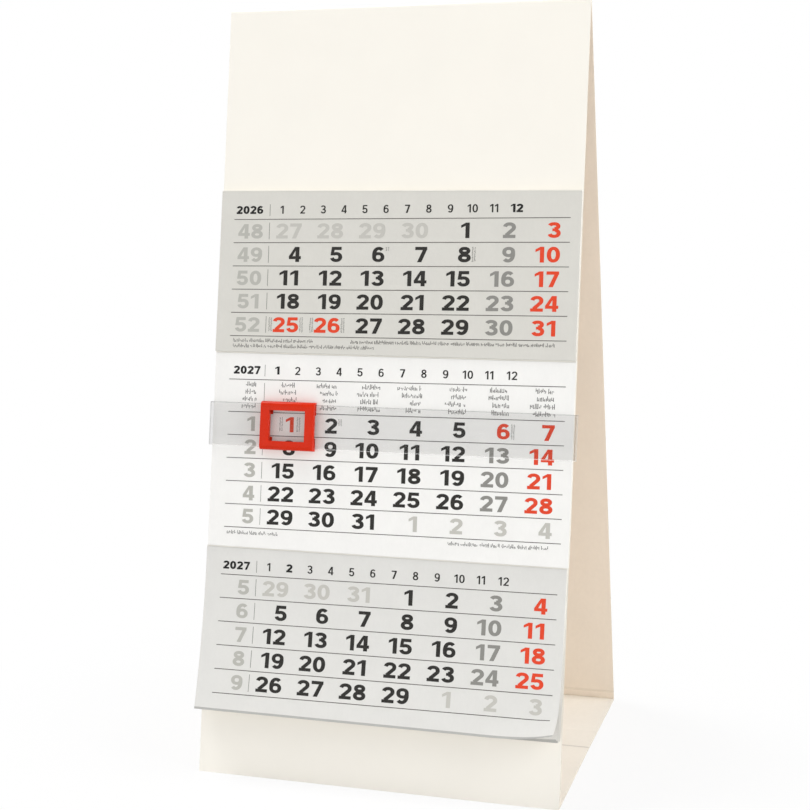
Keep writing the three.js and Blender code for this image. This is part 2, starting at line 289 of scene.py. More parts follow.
def ink_material(name, colour):
    """Offset ink, a little uneven where the paper drinks it."""
    nodes = Nodes(name)
    grain = nodes.noise(2200, 3)
    pale = tuple(channel + 0.02 * (1 - channel) for channel in colour)
    tone = nodes.ramp(grain, [(0.35, colour), (NOISE_HIGH, pale)])
    nodes.link(tone, nodes.shader.inputs["Base Color"])
    nodes.link(nodes.spread(grain, 0.5, 0.66), nodes.shader.inputs["Roughness"])
    nodes.shader.inputs["Specular IOR Level"].default_value = 0.25
    nodes.bump(grain, 0.01, 0.3)
    return nodes.material


INSIDE_LIMIT = 0.2  # cosine between a face's normal and inward, above which it is inside
CUT_LIMIT = 0.8  # the same to the side, above which it is a cut edge
# half width of the painted shade along a pressed crease
SCORE_SHADE_HALF_WIDTH = 0.4


def card_material(name, outside, inside, inward, score_shade=None):
    """Folding card: smooth outside, an inside tone with painted light in it, and a darker core
    at the cut edges.

    inward is the direction that the inside faces, in the easel's frame. Painted shade darkens a
    band across the inside along a pressed crease, given as its axis, its place in millimetres
    and how dark the painted shade is.
    """
    nodes = Nodes(name)
    normal = nodes.add("ShaderNodeTexCoord").outputs["Normal"]
    towards = nodes.add("ShaderNodeVectorMath", operation="DOT_PRODUCT")
    towards.inputs[1].default_value = inward
    nodes.link(normal, towards.inputs[0])
    is_inside = nodes.add("ShaderNodeMath", operation="GREATER_THAN")
    is_inside.inputs[1].default_value = INSIDE_LIMIT
    nodes.link(towards.outputs["Value"], is_inside.inputs[0])
    across = nodes.add("ShaderNodeSeparateXYZ")
    nodes.link(normal, across.inputs[0])
    side = nodes.add("ShaderNodeMath", operation="ABSOLUTE")
    nodes.link(across.outputs["X"], side.inputs[0])
    is_cut = nodes.add("ShaderNodeMath", operation="GREATER_THAN")
    is_cut.inputs[1].default_value = CUT_LIMIT
    nodes.link(side.outputs[0], is_cut.inputs[0])

    cloud = nodes.noise(70, 4)
    fibres = nodes.noise(1100, 5, stretch=(1, 0.6, 0.6))
    smooth = nodes.ramp(cloud, [(NOISE_LOW, shaded(outside, 0.985)), (NOISE_HIGH, outside)])
    rough = nodes.ramp(cloud, [(NOISE_LOW, shaded(inside, 0.96)), (NOISE_HIGH, inside)])
    rough = nodes.mix(nodes.spread(fibres, 0, 0.3), rough, shaded(inside, 0.9))
    tone = nodes.mix(is_inside.outputs[0], smooth, rough)
    tone = nodes.mix(is_cut.outputs[0], tone, CARD_CORE)
    if score_shade:
        axis, score_place, shade = score_shade
        place = nodes.add("ShaderNodeSeparateXYZ")
        nodes.link(nodes.place, place.inputs[0])
        distance = nodes.add("ShaderNodeMath", operation="COMPARE")
        distance.inputs[1].default_value = score_place * MM
        distance.inputs[2].default_value = SCORE_SHADE_HALF_WIDTH * MM
        nodes.link(place.outputs[axis], distance.inputs[0])
        # painted shade along a pressed crease, on the inside faces only
        crease_shade = nodes.add("ShaderNodeMath", operation="MULTIPLY")
        nodes.link(distance.outputs[0], crease_shade.inputs[0])
        nodes.link(is_inside.outputs[0], crease_shade.inputs[1])
        tone = nodes.mix(crease_shade.outputs[0], tone, shaded(inside, shade))
    nodes.link(tone, nodes.shader.inputs["Base Color"])
    nodes.link(nodes.spread(fibres, 0.6, 0.78), nodes.shader.inputs["Roughness"])
    nodes.shader.inputs["Specular IOR Level"].default_value = 0.3
    nodes.bump(fibres, 0.02, 0.4)
    return nodes.material


def gum_material(name, colour):
    """Brushed-on padding gum: slightly glossy, with streaks along the pad's head."""
    nodes = Nodes(name)
    streaks = nodes.noise(900, 3, stretch=(0.15, 1, 1))
    nodes.link(
        nodes.ramp(streaks, [(0.35, shaded(colour, 0.93)), (0.65, colour)]),
        nodes.shader.inputs["Base Color"],
    )
    nodes.link(nodes.spread(streaks, 0.35, 0.55), nodes.shader.inputs["Roughness"])
    nodes.bump(streaks, 0.04, 0.5)
    return nodes.material


def film_material(name, colour, opacity):
    """Clear film with a little haze and faint scuffs along its length."""
    nodes = Nodes(name)
    scuffs = nodes.noise(700, 4, stretch=(0.12, 1, 1))
    haze = nodes.noise(90, 2)
    nodes.link(
        nodes.ramp(haze, [(NOISE_LOW, shaded(colour, 0.97)), (NOISE_HIGH, colour)]),
        nodes.shader.inputs["Base Color"],
    )
    nodes.link(nodes.spread(scuffs, 0.1, 0.17), nodes.shader.inputs["Roughness"])
    nodes.link(
        nodes.spread(scuffs, opacity * 0.93, opacity * 1.07), nodes.shader.inputs["Alpha"]
    )
    nodes.shader.inputs["IOR"].default_value = 1.49
    nodes.bump(haze, 0.03, 0.2)
    return nodes.material


def plastic_material(name, colour):
    """Moulded gloss plastic: deep colour with the faint unevenness of a small moulding."""
    nodes = Nodes(name)
    flow = nodes.noise(260, 3)
    grain = nodes.noise(3500, 2)
    nodes.link(
        nodes.ramp(flow, [(NOISE_LOW, shaded(colour, 0.92)), (NOISE_HIGH, colour)]),
        nodes.shader.inputs["Base Color"],
    )
    nodes.link(nodes.spread(grain, 0.24, 0.34), nodes.shader.inputs["Roughness"])
    nodes.shader.inputs["IOR"].default_value = 1.5
    nodes.shader.inputs["Specular IOR Level"].default_value = 0.13
    nodes.bump(grain, 0.01, 0.25)
    return nodes.material


CARD_OUTSIDE = rgb(251, 247, 238)
# the same card as the outside; its warmer tone paints the bounce light inside the easel
CARD_INSIDE_PAINTED_BOUNCE = rgb(251, 239, 224)
# the same card, lighter and warmer to paint the light falling on the floor through the open
# sides
FLOOR_INSIDE_PAINTED_LIGHT = rgb(255, 251, 243)
CARD_CORE = rgb(222, 216, 204)

materials = {
    "front_card": card_material("front card", CARD_OUTSIDE, CARD_INSIDE_PAINTED_BOUNCE, (0, 1, 0)),
    # painted shade along the rear card's hem crease and the floor's middle crease
    "rear_card": card_material(
        "rear card", CARD_OUTSIDE, CARD_INSIDE_PAINTED_BOUNCE, (0, -1, 0), ("Z", REAR_SCORE_Z, 0.9)
    ),
    "floor_card": card_material(
        "floor card", CARD_OUTSIDE, FLOOR_INSIDE_PAINTED_LIGHT, (0, 0, 1), ("Y", 0, 0.76)
    ),
    "grey_page": paper_material("grey page", rgb(220, 218, 211)),
    "pale_page": paper_material("pale page", rgb(227, 226, 222)),
    "white_page": paper_material("white page", rgb(249, 248, 245)),
    # painted shade along the foot of a curled leaf
    "painted_shade_page_foot": paper_material("painted shade at page foot", rgb(182, 181, 178)),
    "page_edge": paper_material("page edge", rgb(247, 243, 234), fleck=0.93),
    "gum": gum_material("padding gum", rgb(240, 237, 229)),
    "glue": gum_material("pad glue", rgb(226, 222, 208)),
    "film": film_material("clear film", rgb(70, 68, 66), 0.068),
    # painted shade along the film's top edge and a painted glint along its lower edge
    "film_painted_shade_edge": film_material("painted shade along the top edge of the film", rgb(90, 88, 86), 0.2),
    "film_painted_glint_edge": film_material("painted glint along the lower edge of the film", rgb(250, 250, 248), 0.24),
    # painted shade in the left fold, painted sheen in the right fold and a painted highlight on
    # the loop's right side
    "film_left_fold_painted_shade": film_material("painted shade in the left fold of the film", rgb(84, 82, 80), 0.34),
    "film_right_fold_painted_sheen": film_material("fold of the film", rgb(120, 116, 110), 0.13),
    "film_side_painted_highlight": film_material("painted highlight on the side of the film loop", rgb(246, 244, 240), 0.16),
    "red_plastic": plastic_material("red plastic", rgb(214, 42, 6)),
    "black_ink": ink_material("black ink", rgb(30, 28, 24)),
    "year_ink": ink_material("year ink", rgb(10, 9, 8)),
    "saturday_ink": ink_material("saturday ink", rgb(140, 139, 134)),
    "sunday_ink": ink_material("sunday ink", rgb(226, 66, 30)),
    "week_ink": ink_material("week ink", rgb(184, 183, 176)),
    "pale_ink": ink_material("pale ink", rgb(196, 194, 187)),
    "small_ink": ink_material("small ink", rgb(56, 54, 50)),
    "side_ink": ink_material("side ink", rgb(112, 110, 105)),
    "rule_ink": ink_material("rule ink", rgb(92, 89, 84)),
}


# Meshes


def add_piece(name, points, faces, looks, body, face_looks=None, sharp=30):
    """A mesh object from points in millimetres. looks names its materials."""
    mesh = bpy.data.meshes.new(name)
    mesh.from_pydata([Vector(point) * MM for point in points], [], faces)
    for look in looks:
        mesh.materials.append(materials[look])
    if face_looks is not None:
        mesh.polygons.foreach_set("material_index", face_looks)
    mesh.shade_smooth()
    mesh.set_sharp_from_angle(angle=math.radians(sharp))
    mesh.update()
    piece = bpy.data.objects.new(name, mesh)
    bpy.context.scene.collection.objects.link(piece)
    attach(piece, body)
    return piece


def on_panel(x, down, lift):
    """A point by its place across, down the front panel from the apex, and off its face."""
    back = CARD_THICKNESS + lift
    return (
        x,
        -back * math.cos(LEAN) - down * math.sin(LEAN),
        APEX_Z + back * math.sin(LEAN) - down * math.cos(LEAN),
    )


def pad_head(pad):
    """Distance down the slope from the apex crease to the head of a pad."""
    spacing = GUM_THICKNESS + 2 * SEAT_GAP
    above = PADS[: PADS.index(pad)]
    return HEADER_HEIGHT + sum(other["height"] + spacing for other in above)


def on_leaf(pad, number, x, down, above):
    """A point above the front of a leaf, by its place on the flat leaf. Leaf 1 is on show."""
    below = number - 1
    last = LEAF_COUNT - 1
    index = last - below
    bend = pad["spread"] + pad["fan"] * index / last
    share = CURL_FADE**below if below < pad["curled"] else 0
    across = 1 + (x - PAD_WIDTH / 2) / CURL_WIDTH
    curl = max(0, across + (down - pad["height"]) / CURL_HEIGHT)
    lift = STACK_BASE + index * LEAF_PITCH + LEAF_THICKNESS + above
    lift += bend * (down / pad["height"]) ** 2 + share * CURL_RISE * curl**2
    return on_panel(
        x + pad["shift"] - share * CURL_TUCK_ACROSS * curl**3,
        pad_head(pad) + down - share * CURL_TUCK_UP * curl**3,
        lift,
    )


def evenly(start, end, steps):
    return [start + (end - start) * i / steps for i in range(steps + 1)]


def leaf_body(pad, number):
    lifts = number == 1 and pad is not MIDDLE_PAD
    return f"{pad['name']}_top_leaf" if lifts else "easel_front"


def add_leaf(pad, number, look):
    """One leaf as a smooth thin sheet, pale at its back and cut edges.

    A curled leaf has painted shade, a darker strip, along its foot.
    """
    edge = PAD_WIDTH / 2
    columns = [-edge, edge]
    rows = evenly(0, pad["height"], LEAF_STEPS)
    leaf_looks = [look, "page_edge"]
    front, pale, foot = range(3)
    curled = number <= pad["curled"]
    if curled:
        leaf_looks.append("painted_shade_page_foot")
        columns = [-edge, -edge / 2, 0] + evenly(edge - CURL_WIDTH, edge, CURL_STEPS)
        flat = pad["height"] - CURL_HEIGHT
        rows = evenly(0, flat, FLAT_STEPS)[:-1] + evenly(flat, pad["height"], LEAF_STEPS)
    wide = len(columns)
    layer = wide * len(rows)
    points = []
    for thickness in (0, LEAF_THICKNESS):
        for down in rows:
            for x in columns:
                points.append(on_leaf(pad, number, x, down, thickness - LEAF_THICKNESS))
    faces = []
    looks = []
    for j in range(len(rows) - 1):
        # painted shade in the last row of a curled leaf, along its foot
        row_look = foot if curled and j == len(rows) - 2 else front
        for i in range(wide - 1):
            a = j * wide + i
            b = a + 1
            c = a + wide
            d = c + 1
            for triangle in ((c, d, b), (c, b, a)):
                faces.append([layer + corner for corner in triangle])
                looks.append(row_look)
                faces.append(triangle[::-1])
                looks.append(pale)
    border = [(i, 0) for i in range(wide)]
    border += [(wide - 1, j) for j in range(1, len(rows))]
    border += [(i, len(rows) - 1) for i in range(wide - 2, -1, -1)]
    border += [(0, j) for j in range(len(rows) - 2, 0, -1)]
    ring = [j * wide + i for i, j in border]
    for a, b in zip(ring, ring[1:] + ring[:1]):
        faces.append((a, b, layer + b, layer + a))
        looks.append(pale)
    name = f"{pad['name']}_page_{number:02d}"
    piece = add_piece(name, points, faces, leaf_looks, leaf_body(pad, number), looks)
    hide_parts(f"{pad['name']}_leaf_{number:02d}")


# Numbers: each is a set of strips, drawn in a box one unit high


def ribbon(path, stem, bar, closed=False):
    """Quads along a path, as wide as the stem where it stands and the bar where it lies."""
    count = len(path)
    sides = []
    for i, (x, y) in enumerate(path):
        before = path[i - 1] if i or closed else path[i]
        after = path[(i + 1) % count] if i + 1 < count or closed else path[i]
        along = Vector((after[0] - before[0], after[1] - before[1])).normalized()
        sides.append((-along.y * stem / 2, along.x * bar / 2))
    quads = []
    for i in range(count if closed else count - 1):
        k = (i + 1) % count
        quads.append(
            [
                (path[i][0] - sides[i][0], path[i][1] - sides[i][1]),
                (path[k][0] - sides[k][0], path[k][1] - sides[k][1]),
                (path[k][0] + sides[k][0], path[k][1] + sides[k][1]),
                (path[i][0] + sides[i][0], path[i][1] + sides[i][1]),
            ]
        )
    return quads


def bow(centre, radii, start, end, steps):
    """Points on an ellipse that is slightly squared, between two angles in degrees."""
    points = []
    for angle in evenly(math.radians(start), math.radians(end), steps):
        c = math.cos(angle)
        s = math.sin(angle)
        points.append(
            (
                centre[0] + radii[0] * math.copysign(abs(c) ** 0.9, c),
                centre[1] + radii[1] * math.copysign(abs(s) ** 0.9, s),
            )
        )
    return points


def block(left, low, right, high):
    return [(left, low), (right, low), (right, high), (left, high)]


def half_turned(shape, width):
    return [(width - x, 1 - y) for x, y in shape]


def digit_shapes(digit, width, stem, bar):
    """The strokes of a plain sans-serif digit, one unit high, each as a list of polygons."""
    left = stem / 2
    right = width - stem / 2
    low = bar / 2
    high = 1 - bar / 2
    middle = width / 2
    reach = middle - left
    if digit == 0:
        return [ribbon(bow((middle, 0.5), (reach, high - 0.5), 0, 345, 23), stem, bar, True)]
    if digit == 1:
        stand = 0.54 * width
        flag = [(0.17 * width, 0.66), (0.17 * width, 0.83), (stand, 1), (stand, 0.8)]
        return [[block(stand - 0.02, 0, stand - 0.02 + stem, 1)], [flag]]
    if digit == 2:
        top = bow((middle, 0.69), (reach, high - 0.69), 172, -38, 16)
        neck = ribbon(top + [(left + 0.1 * width, bar * 0.85)], stem, bar)
        return [neck, [block(0.01, 0, width - 0.02, bar)]]
    if digit == 3:
        upper = bow((middle - 0.02, 0.74), (reach - 0.015, high - 0.74), 165, -85, 16)
        lower = bow((middle, 0.295), (reach, 0.295 - low), 82, -168, 18)
        return [
            ribbon(upper, stem, bar),
            ribbon(lower, stem, bar),
            [block(0.36 * width, 0.43, 0.6 * width, 0.43 + 0.85 * bar)],
        ]
    if digit == 4:
        post = width - 1.42 * stem
        foot = 0.19
        slant = [
            (0, foot + 0.9 * bar),
            (0.3 * width, foot + 0.9 * bar),
            (post + 0.02, 0.78),
            (post + 0.02, 1),
            (post - 0.05 * width, 1),
        ]
        return [
            [block(post, 0, post + stem, 1)],
            [block(0, foot, width, foot + 0.95 * bar)],
            [slant],
        ]
    if digit == 5:
        bowl = bow((middle - 0.01, 0.33), (reach, 0.33 - low), 128, -168, 20)
        top = block(0.12 * width, 1 - bar, 0.92 * width, 1)
        back = [(0.03 * width, 0.44), (0.3 * width, 0.44), (0.38 * width, 1), (0.12 * width, 1)]
        return [ribbon(bowl, stem, bar), [top], [back]]
    if digit in (6, 9):
        ring = bow((middle, 0.33), (reach, 0.33 - low), 0, 345, 23)
        tail = bow((middle + 0.03, 0.46), (reach + 0.03, high - 0.46), 190, 48, 16)
        strokes = [ribbon(ring, stem * 0.96, bar * 0.95, True), ribbon(tail, stem, bar)]
        if digit == 9:
            strokes = [[half_turned(shape, width) for shape in stroke] for stroke in strokes]
        return strokes
    if digit == 7:
        leg = [(0.2 * width, 0), (0.54 * width, 0), (0.98 * width, 0.86), (0.66 * width, 0.86)]
        return [[block(0.02, 1 - 1.02 * bar, 0.98 * width, 1)], [leg]]
    upper = bow((middle, 0.745), (reach - 0.035, high - 0.745), 0, 345, 23)
    lower = bow((middle, 0.285), (reach, 0.285 - low), 0, 345, 23)
    return [ribbon(upper, stem * 0.95, bar, True), ribbon(lower, stem, bar, True)]


HEAVY = {"width": 0.82, "stem": 0.3, "bar": 0.23, "advance": 0.92}
BOLD = {"width": 0.85, "stem": 0.273, "bar": 0.205, "advance": 0.965}
REGULAR = {"width": 0.68, "stem": 0.19, "bar": 0.15, "advance": 0.8}
AFTER_ONE = 0.08  # how much closer a figure stands after a 1, and before one
BEFORE_ONE = 0.12


class Sheet:
    """Flat print on one leaf, gathered by ink.

    u is measured from the card's left edge and v from the leaf's head.
    """

    def __init__(self):
        self.shapes = {}

    def add(self, ink, shape, layer=0):
        self.shapes.setdefault(ink, []).append((shape, layer))

    def bar(self, ink, left, top, right, bottom):
        self.add(ink, [(left, bottom), (right, bottom), (right, top), (left, top)])

    def rule(self, level):
        half = RULE_WIDTH / 2
        self.bar("rule_ink", RULE_LEFT, level - half, RULE_RIGHT, level + half)

    def tick(self, top, bottom):
        """A short upright line between the week numbers and the days."""
        self.bar("rule_ink", TICK_U - TICK_WIDTH / 2, top, TICK_U + TICK_WIDTH / 2, bottom)

    def number(self, ink, value, right, baseline, height, face=BOLD):
        """A number that ends at right and stands on baseline."""
        left = right - self.number_width(value, height, face)
        before = None
        for figure in [int(figure) for figure in str(value)]:
            if before is not None:
                left += height * self.advance(before, figure, face)
            before = figure
            strokes = digit_shapes(figure, face["width"], face["stem"], face["bar"])
            for layer, stroke in enumerate(strokes):
                for shape in stroke:
                    points = [(left + height * x, baseline - height * y) for x, y in shape]
                    self.add(ink, points, layer)

    def advance(self, figure, following, face):
        """From the left of one figure to the left of the next, closer beside a narrow 1."""
        return face["advance"] - AFTER_ONE * (figure == 1) - BEFORE_ONE * (following == 1)

    def number_width(self, value, height, face):
        figures = [int(figure) for figure in str(value)]
        steps = [self.advance(a, b, face) for a, b in zip(figures, figures[1:])]
        return height * (sum(steps) + face["width"])

    def greeked_line(self, ink, left, right, baseline, height, seed):
        """A line of unreadable small type: letter-sized marks with gaps for words."""
        chance = random.Random(seed)
        stroke = 0.15 * height
        u = left
        until_gap = chance.randint(4, 8)
        while u < right - 0.5 * height:
            end = min(u + height * chance.uniform(0.45, 0.65), right)
            for place in (u, end - stroke):
                foot = baseline - height * chance.choice((0, 0, 0.2, 0.45))
                top = baseline - height * chance.choice((0.6, 0.8, 1, 1.3))
                self.bar(ink, place, top, place + stroke, foot)
            low = baseline - height * chance.uniform(0.05, 0.75)
            self.bar(ink, u + stroke, low - 0.12 * height, end - stroke, low)
            u = end + 0.22 * height
            until_gap -= 1
            if until_gap == 0:
                u += 0.4 * height
                until_gap = chance.randint(4, 9)

    def greeked_columns(self, left, top, bottom, seed):
        """Two lines of the same, turned to run up the side of a number."""
        chance = random.Random(seed)
        for start in (left, left + 0.62):
            v = top + chance.uniform(0, 0.2)
            while v < bottom - 0.2:
                length = chance.uniform(0.15, 0.3)
                inset = chance.uniform(0, 0.2)
                end = start + chance.uniform(0.3, 0.5)
                self.bar("side_ink", start + inset, v, end, v + 0.12)
                self.bar("side_ink", start + inset, v, start + inset + 0.12, v + length)
                v += length + 0.12


def cut_rows(shape, step):
    """A polygon cut into slices along v, so that it can follow a curled leaf."""
    lowest = min(v for _, v in shape)
    highest = max(v for _, v in shape)
    pieces = []
    remaining = shape
    level = math.floor(lowest / step) * step + step
    while level < highest and len(remaining) > 2:
        inside = []
        outside = []
        for (u1, v1), (u2, v2) in zip(remaining, remaining[1:] + remaining[:1]):
            (inside if v1 <= level else outside).append((u1, v1))
            if (v1 <= level) != (v2 <= level):
                share = (level - v1) / (v2 - v1)
                crossing = (u1 + (u2 - u1) * share, level)
                inside.append(crossing)
                outside.append(crossing)
        if len(inside) > 2:
            pieces.append(inside)
        remaining = outside
        level += step
    if len(remaining) > 2:
        pieces.append(remaining)
    return pieces


def cut_columns(shape, step):
    turned = [(v, u) for u, v in shape]
    return [[(u, v) for v, u in piece] for piece in cut_rows(turned, step)]


def print_leaf(pad, number, sheet):
    """Prints a sheet onto a leaf, one object to an ink."""
    curled = number <= pad["curled"]
    turn = pad["print_turn"]
    for ink, shapes in sheet.shapes.items():
        points = []
        faces = []
        for shape, layer in shapes:
            pieces = [shape]
            if curled:
                rows = cut_rows(shape, CELL_HEIGHT)
                pieces = [cell for row in rows for cell in cut_columns(row, CELL_WIDTH)]
            for piece in pieces:
                start = len(points)
                for u, v in piece:
                    x = u - CARD_WIDTH / 2
                    across = x - pad["shift"] + pad["print_shift"] + turn * v
                    down = v + pad["print_drop"] - turn * x
                    lift = INK_LIFT + INK_LAYER * layer
                    points.append(on_leaf(pad, number, across, down, lift))
                faces.append(list(range(start, len(points))))
        name = f"{pad['name']}_page_{number:02d}_{ink}"
        add_piece(name, points, faces, [ink], leaf_body(pad, number))


# marked gives the lengths of the small marks before and after a date, of its height
DECEMBER = {
    "year": 2026, "month": 12, "days": 31, "days_before": 30, "first_column": 4,
    "first_week": 48, "red": {25, 26},
    "marked": {25: (1, 1), 26: (1, 1), 6: (0, 0.25), 8: (0, 1)},
}
JANUARY = {
    "year": 2027, "month": 1, "days": 31, "days_before": 31, "first_column": 0,
    "first_week": 1, "red": {1, 6}, "marked": {1: (1, 1), 2: (0, 0.5), 6: (0, 1)},
}
FEBRUARY = {
    "year": 2027, "month": 2, "days": 29, "days_before": 31, "first_column": 3,
    "first_week": 5, "red": set(), "marked": {},
}
MARCH = {
    "year": 2027, "month": 3, "days": 31, "days_before": 29, "first_column": 4,
    "first_week": 9, "red": {29}, "marked": {},
}
MONTHS = 12
WEEKS_IN_YEAR = 52
WEEKS_SHOWN = 5
WEEKDAYS = 7
# Lengths of the lines of small type, for the week numbers and then for each weekday
HEADING_LENGTHS = [
    [3.6, 3.6, 4.4, 4.6],
    [4.6, 5.1, 3.9, 4.5],
    [6.2, 5.2, 4.4, 5.1],
    [5.2, 6.6, 5.6, 6.3],
    [7.2, 5.9, 3.6, 4.7],
    [4.7, 4.2, 5.9, 4.9],
    [5.7, 6, 4.9, 5.1],
    [5.4, 5, 6.8, 6],
]


def day_ink(month, day, column):
    if day < 1 or day > month["days"]:
        return "pale_ink"
    if column == WEEKDAYS - 1 or day in month["red"]:
        return "sunday_ink"
    return "saturday_ink" if column == WEEKDAYS - 2 else "black_ink"


def lay_out_heading(sheet, month, rule, year_right):
    baseline = rule - HEADING_RISE
    sheet.number("year_ink", month["year"], year_right, baseline, YEAR_HEIGHT, HEAVY)
    above, below = HEADING_TICK
    sheet.tick(baseline - above, baseline + below)
    for other in range(1, MONTHS + 1):
        current = other == month["month"]
        face = HEAVY if current else REGULAR
        ink = "year_ink" if current else "black_ink"
        width = sheet.number_width(other, YEAR_HEIGHT, face)
        centre = MONTH_LEFT + MONTH_PITCH * (other - 1)
        sheet.number(ink, other, centre + width / 2, baseline, YEAR_HEIGHT, face)


def lay_out_weekdays(sheet, top, bottom):
    """Four lines of small type over the week numbers and over each weekday."""
    sheet.tick(top + TICK_INSET, bottom - TICK_INSET)
    rights = [WEEK_RIGHT] + [DAY_RIGHT + DAY_PITCH * column for column in range(WEEKDAYS)]
    for column, right in enumerate(rights):
        for line, length in enumerate(HEADING_LENGTHS[column]):
            baseline = top + WEEKDAY_BASELINE + WEEKDAY_PITCH * line
            left = right - length
            seed = 10 * column + line
            sheet.greeked_line("small_ink", left, right, baseline, WEEKDAY_HEIGHT, seed)


def lay_out_month(month, layout, with_weekdays=False, notes=()):
    """The print of a month. A note gives its left and right, its drop, height and seed."""
    sheet = Sheet()
    head = layout["head_rule"]
    sheet.rule(head)
    lay_out_heading(sheet, month, head, layout["year_right"])
    if with_weekdays:
        lay_out_weekdays(sheet, head, layout["first_rule"])
    for week in range(WEEKS_SHOWN + 1):
        rule = layout["first_rule"] + layout["pitch"] * week
        if rule > head:
            sheet.rule(rule)
        if week == WEEKS_SHOWN:
            break
        below = rule + layout["pitch"]
        baseline = below - BASELINE_RISE
        sheet.tick(rule + TICK_INSET, below - TICK_INSET)
        week_number = (month["first_week"] + week - 1) % WEEKS_IN_YEAR + 1
        sheet.number("week_ink", week_number, WEEK_RIGHT, baseline, WEEK_HEIGHT)
        for column in range(WEEKDAYS):
            day = week * WEEKDAYS + column - month["first_column"] + 1
            shown = day
            if day < 1:
                shown = day + month["days_before"]
            elif day > month["days"]:
                shown = day - month["days"]
            right = DAY_RIGHT + DAY_PITCH * column
            sheet.number(day_ink(month, day, column), shown, right, baseline, DAY_HEIGHT)
            before, after = month["marked"].get(day, (0, 0))
            top = baseline - DAY_HEIGHT
            if after:
                foot = top + DAY_HEIGHT * after
                sheet.greeked_columns(right + SIDE_MARK_GAP, top, foot, day)
            if before:
                left = right - sheet.number_width(shown, DAY_HEIGHT, BOLD)
                foot = top + DAY_HEIGHT * before
                sheet.greeked_columns(left - SIDE_MARK_REACH, top, foot, day + 9)
    foot = layout["first_rule"] + layout["pitch"] * WEEKS_SHOWN
    for left, right, drop, height, seed in notes:
        sheet.greeked_line("small_ink", left, right, foot + drop, height, seed)
    return sheet


def add_pads():
    for pad, look, slot in (
        (UPPER_PAD, "grey_page", "grey_leaf"),
        (MIDDLE_PAD, "white_page", "white_leaf"),
        (LOWER_PAD, "pale_page", "grey_leaf"),
    ):
        for number in range(1, LEAF_COUNT + 1):
            add_leaf(pad, number, look)
        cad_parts[f"{pad['name']}_pad_gum"].data.materials[0] = materials["gum"]
        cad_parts[f"{pad['name']}_pad_glue"].data.materials[0] = materials["glue"]

    notes = [(5.3, 29, 1.7, 0.8, 301), (5.3, 46.5, 3.2, 0.8, 302), (39.3, 95.7, 1.7, 0.8, 303)]
    print_leaf(UPPER_PAD, 1, lay_out_month(DECEMBER, GREY_LAYOUT, notes=notes))
    notes = [(5, 20, 1.9, 0.8, 304), (68, 95, 1.9, 0.85, 305)]
    january = lay_out_month(JANUARY, WHITE_LAYOUT, with_weekdays=True, notes=notes)
    print_leaf(MIDDLE_PAD, 1, january)
    print_leaf(LOWER_PAD, 1, lay_out_month(FEBRUARY, GREY_LAYOUT))
    print_leaf(UPPER_PAD, 2, lay_out_month(JANUARY, GREY_LAYOUT))
    print_leaf(LOWER_PAD, 2, lay_out_month(MARCH, GREY_LAYOUT))


# Floor of the easel: its two parts, which meet at the slanted cut

CREASE_STEPS = 10
FLAT_REACH = HALF_FLOOR * 0.9  # from the middle of the floor to where its creases begin
CUT_GAP = 0.01  # between the two parts, too narrow to show


def add_section(name, section, look, body, node):
    """An outline in points (y, z), drawn anticlockwise and extruded over the card's width."""
    count = len(section)
    half = CARD_WIDTH / 2
    points = [(-half, y, z) for y, z in section] + [(half, y, z) for y, z in section]
    faces = [list(range(count, 2 * count)), list(range(count))[::-1]]
    for i in range(count):
        k = (i + 1) % count
        faces.append((i, k, count + k, count + i))
    piece = add_piece(name, points, faces, [look], body, sharp=50)
    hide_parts(node)


def crease_arc(crease, start, end):
    """The outer face of the card where it bends about a crease."""
    return [
        (crease[0] + CARD_THICKNESS * math.cos(a), crease[1] + CARD_THICKNESS * math.sin(a))
        for a in evenly(start, end, CREASE_STEPS)
    ]


def raised(y):
    """How far the floor stands up at a place between its front and rear creases."""
    return FLOOR_CREASE_RISE * (1 - abs(y) / HALF_FLOOR)


def floor_surface(start, end, steps, thickness):
    return [(y, thickness + raised(y)) for y in evenly(start, end, steps)]


def add_easel_floor():
    bisector = math.pi + (math.pi / 2 - LEAN) / 2
    gap_angle = CREASE_GAP / CARD_THICKNESS
    scarf_top = SPLIT_Y + SCARF_LENGTH - CUT_GAP
    flap_crease = (FLAP_CREASE_Y, CARD_THICKNESS)
    front = [(FLAP_CREASE_Y + CREASE_GAP, CARD_THICKNESS)]
    front += crease_arc(flap_crease, bisector + gap_angle, 1.5 * math.pi)
    front += floor_surface(-FLAT_REACH, 0, 6, 0)
    front += floor_surface(0, SPLIT_Y - CUT_GAP, 3, 0)[1:]
    front += floor_surface(scarf_top, 0, 3, CARD_THICKNESS)
    front += floor_surface(0, -FLAT_REACH, 6, CARD_THICKNESS)[1:]
    rear = [(HALF_FLOOR - CREASE_GAP, CARD_THICKNESS)]
    rear += floor_surface(FLAT_REACH, SPLIT_Y + SCARF_LENGTH, 4, CARD_THICKNESS)
    rear += floor_surface(SPLIT_Y, FLAT_REACH, 4, 0)
    mirrored_crease = (-HALF_FLOOR, CARD_THICKNESS)
    arc = crease_arc(mirrored_crease, bisector + gap_angle, 1.5 * math.pi)
    rear += [(-y, z) for y, z in arc[::-1]]
    for node, section in (("floor_front", front), ("floor_rear", rear)):
        name = node.replace("floor", "floor_card")
        add_section(name, section, "floor_card", node, node)


def dress_easel():
    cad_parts["front_panel"].data.materials[0] = materials["front_card"]
    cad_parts["rear_panel"].data.materials[0] = materials["rear_card"]
    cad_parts["glue_flap"].data.materials[0] = materials["front_card"]
    add_easel_floor()


WELD_REACH = 0.001
FLAT_ANGLE = math.radians(1)
SHARP_ANGLE = math.radians(35)


